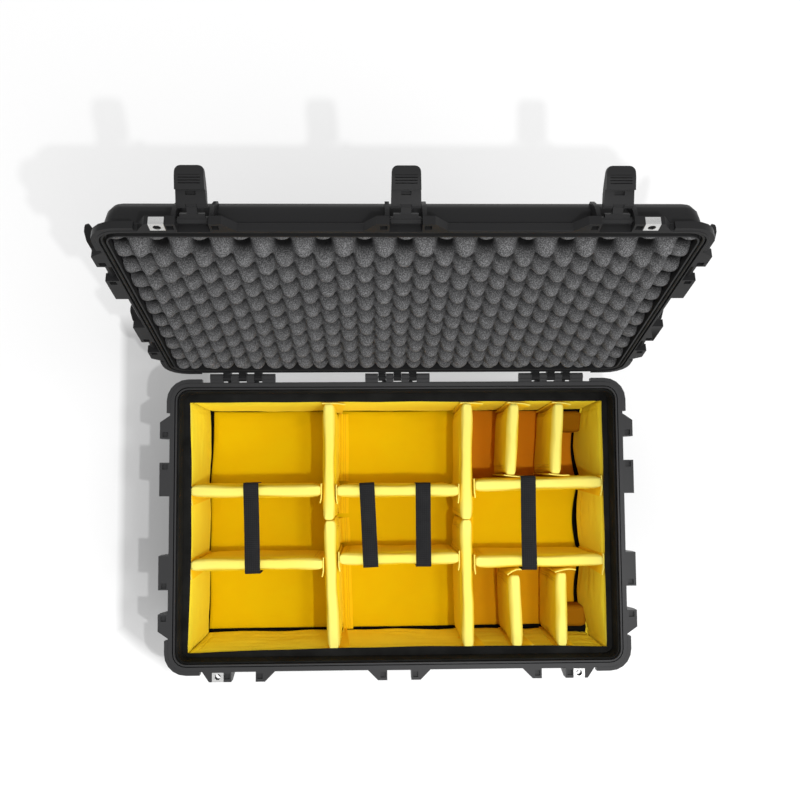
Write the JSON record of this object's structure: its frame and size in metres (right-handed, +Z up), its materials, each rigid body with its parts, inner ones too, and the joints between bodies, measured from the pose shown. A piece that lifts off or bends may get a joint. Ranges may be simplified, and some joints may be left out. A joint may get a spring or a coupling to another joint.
{
  "type": "protective case",
  "caption": "Wheeled hard plastic case with a hinged latching lid, egg-crate foam in the lid, and a padded liner with movable dividers held by webbing straps.",
  "frame": {"origin": "middle of the base's underside, on the plane that it stands on", "axes": "+X to the right along the long side, towards the wheels, +Y from the latch side to the hinges, +Z up"},
  "size_m": [0.8268, 0.6948, 0.7357],
  "materials": {
    "shell_plastic": "fine moulded grain, charcoal grey",
    "fitting_plastic": "satin, charcoal grey",
    "hub_plastic": "satin",
    "plate_steel": "brushed",
    "pin_steel": "drawn wire",
    "gasket_rubber": "soft matt",
    "tyre": "matt",
    "padded_cloth": "brushed loop cloth, yellow, black on the tops of the wall panels",
    "lining_cloth": "black brushed lining",
    "strap_webbing": "black hook-and-loop webbing",
    "lid_foam": "open-cell convoluted foam, charcoal grey"
  },
  "bodies": {
    "case": {"base_shell": "shell_plastic", "hinge_pin_1": "pin_steel", "hinge_pin_2": "pin_steel", "hinge_pin_3": "pin_steel", "pressure_valve": "fitting_plastic", "base_padlock_plate_left": "plate_steel", "base_padlock_plate_right": "plate_steel", "wheel_axle_front": "pin_steel", "wheel_axle_back": "pin_steel", "liner_left": "padded_cloth", "liner_right": "padded_cloth", "liner_front": "padded_cloth", "liner_back": "padded_cloth", "liner_floor": "padded_cloth", "liner_collar": "lining_cloth", "divider_left_back": "padded_cloth", "divider_left_front": "padded_cloth", "divider_right_back": "padded_cloth", "divider_right_front": "padded_cloth", "cross_divider_back_left": "padded_cloth", "cross_divider_front_left": "padded_cloth", "cross_divider_back_middle": "padded_cloth", "cross_divider_front_middle": "padded_cloth", "cross_divider_back_right": "padded_cloth", "cross_divider_front_right": "padded_cloth", "short_divider_back_1": "padded_cloth", "short_divider_back_2": "padded_cloth", "short_divider_front_1": "padded_cloth", "short_divider_front_2": "padded_cloth", "strap_1": "strap_webbing", "strap_2": "strap_webbing", "strap_3": "strap_webbing", "strap_4": "strap_webbing"},
    "lid": {"lid_shell": "shell_plastic", "lid_gasket": "gasket_rubber", "lid_foam": "lid_foam", "lid_padlock_plate_left": "plate_steel", "lid_padlock_plate_right": "plate_steel"},
    "link_front_1": {"latch_link_front_1": "fitting_plastic"},
    "lever_front_1": {"latch_lever_front_1": "fitting_plastic"},
    "link_front_2": {"latch_link_front_2": "fitting_plastic"},
    "lever_front_2": {"latch_lever_front_2": "fitting_plastic"},
    "link_front_3": {"latch_link_front_3": "fitting_plastic"},
    "lever_front_3": {"latch_lever_front_3": "fitting_plastic"},
    "link_left_1": {"latch_link_left_1": "fitting_plastic"},
    "lever_left_1": {"latch_lever_left_1": "fitting_plastic"},
    "link_left_2": {"latch_link_left_2": "fitting_plastic"},
    "lever_left_2": {"latch_lever_left_2": "fitting_plastic"},
    "link_right_1": {"latch_link_right_1": "fitting_plastic"},
    "lever_right_1": {"latch_lever_right_1": "fitting_plastic"},
    "link_right_2": {"latch_link_right_2": "fitting_plastic"},
    "lever_right_2": {"latch_lever_right_2": "fitting_plastic"},
    "front_handle": {"front_handle": "fitting_plastic"},
    "left_handle": {"left_handle": "fitting_plastic"},
    "right_handle": {"right_handle": "fitting_plastic"},
    "pull_handle": {"pull_handle": "fitting_plastic"},
    "wheel_front": {"wheel_tyre_front": "tyre", "wheel_hub_front": "hub_plastic"},
    "wheel_back": {"wheel_tyre_back": "tyre", "wheel_hub_back": "hub_plastic"}
  },
  "joints": [
    {"name": "lid_hinge", "type": "hinge", "parent": "case", "child": "lid", "pos_m": [0, 0.24334, 0.24267], "axis": [-1, 0, 0], "range_deg": [-105.2, 0]},
    {"name": "link_hinge_front_1", "type": "hinge", "parent": "lid", "child": "link_front_1", "pos_m": [-0.252, 0.38538, 0.70701], "axis": [-1, 0, 0], "range_deg": [-130, 0]},
    {"name": "lever_hinge_front_1", "type": "hinge", "parent": "link_front_1", "child": "lever_front_1", "pos_m": [-0.252, 0.40213, 0.71621], "axis": [-1, 0, 0], "range_deg": [-20, 0]},
    {"name": "link_hinge_front_2", "type": "hinge", "parent": "lid", "child": "link_front_2", "pos_m": [0, 0.38538, 0.70701], "axis": [-1, 0, 0], "range_deg": [-130, 0]},
    {"name": "lever_hinge_front_2", "type": "hinge", "parent": "link_front_2", "child": "lever_front_2", "pos_m": [0, 0.40213, 0.71621], "axis": [-1, 0, 0], "range_deg": [-20, 0]},
    {"name": "link_hinge_front_3", "type": "hinge", "parent": "lid", "child": "link_front_3", "pos_m": [0.252, 0.38538, 0.70701], "axis": [-1, 0, 0], "range_deg": [-130, 0]},
    {"name": "lever_hinge_front_3", "type": "hinge", "parent": "link_front_3", "child": "lever_front_3", "pos_m": [0.252, 0.40213, 0.71621], "axis": [-1, 0, 0], "range_deg": [-20, 0]},
    {"name": "link_hinge_left_1", "type": "hinge", "parent": "lid", "child": "link_left_1", "pos_m": [-0.382, 0.28969, 0.35478], "axis": [0, -0.2622, -0.965], "range_deg": [-142, 0]},
    {"name": "lever_hinge_left_1", "type": "hinge", "parent": "link_left_1", "child": "lever_left_1", "pos_m": [-0.39212, 0.30532, 0.35053], "axis": [0, -0.2622, -0.965], "range_deg": [-20, 0]},
    {"name": "link_hinge_left_2", "type": "hinge", "parent": "lid", "child": "link_left_2", "pos_m": [-0.382, 0.35418, 0.59218], "axis": [0, -0.2622, -0.965], "range_deg": [-142, 0]},
    {"name": "lever_hinge_left_2", "type": "hinge", "parent": "link_left_2", "child": "lever_left_2", "pos_m": [-0.39212, 0.36982, 0.58793], "axis": [0, -0.2622, -0.965], "range_deg": [-20, 0]},
    {"name": "link_hinge_right_1", "type": "hinge", "parent": "lid", "child": "link_right_1", "pos_m": [0.382, 0.35418, 0.59218], "axis": [0, 0.2622, 0.965], "range_deg": [-142, 0]},
    {"name": "lever_hinge_right_1", "type": "hinge", "parent": "link_right_1", "child": "lever_right_1", "pos_m": [0.39212, 0.36982, 0.58793], "axis": [0, 0.2622, 0.965], "range_deg": [-20, 0]},
    {"name": "link_hinge_right_2", "type": "hinge", "parent": "lid", "child": "link_right_2", "pos_m": [0.382, 0.28969, 0.35478], "axis": [0, 0.2622, 0.965], "range_deg": [-142, 0]},
    {"name": "lever_hinge_right_2", "type": "hinge", "parent": "link_right_2", "child": "lever_right_2", "pos_m": [0.39212, 0.30532, 0.35053], "axis": [0, 0.2622, 0.965], "range_deg": [-20, 0]},
    {"name": "front_handle_swing", "type": "hinge", "parent": "case", "child": "front_handle", "pos_m": [0, -0.236, 0.165], "axis": [-1, 0, 0], "range_deg": [0, 90]},
    {"name": "left_handle_swing", "type": "hinge", "parent": "case", "child": "left_handle", "pos_m": [-0.376, 0, 0.165], "axis": [0, 1, 0], "range_deg": [0, 90]},
    {"name": "right_handle_swing", "type": "hinge", "parent": "case", "child": "right_handle", "pos_m": [0.376, 0, 0.165], "axis": [0, -1, 0], "range_deg": [0, 90]},
    {"name": "pull_handle_slide", "type": "slide", "parent": "case", "child": "pull_handle", "axis": [-1, 0, 0], "range_m": [0, 0.33]},
    {"name": "wheel_spin_front", "type": "hinge", "parent": "case", "child": "wheel_front", "pos_m": [0.352, -0.185, 0.032], "axis": [0, 1, 0], "continuous": true},
    {"name": "wheel_spin_back", "type": "hinge", "parent": "case", "child": "wheel_back", "pos_m": [0.352, 0.185, 0.032], "axis": [0, 1, 0], "continuous": true}
  ]
}
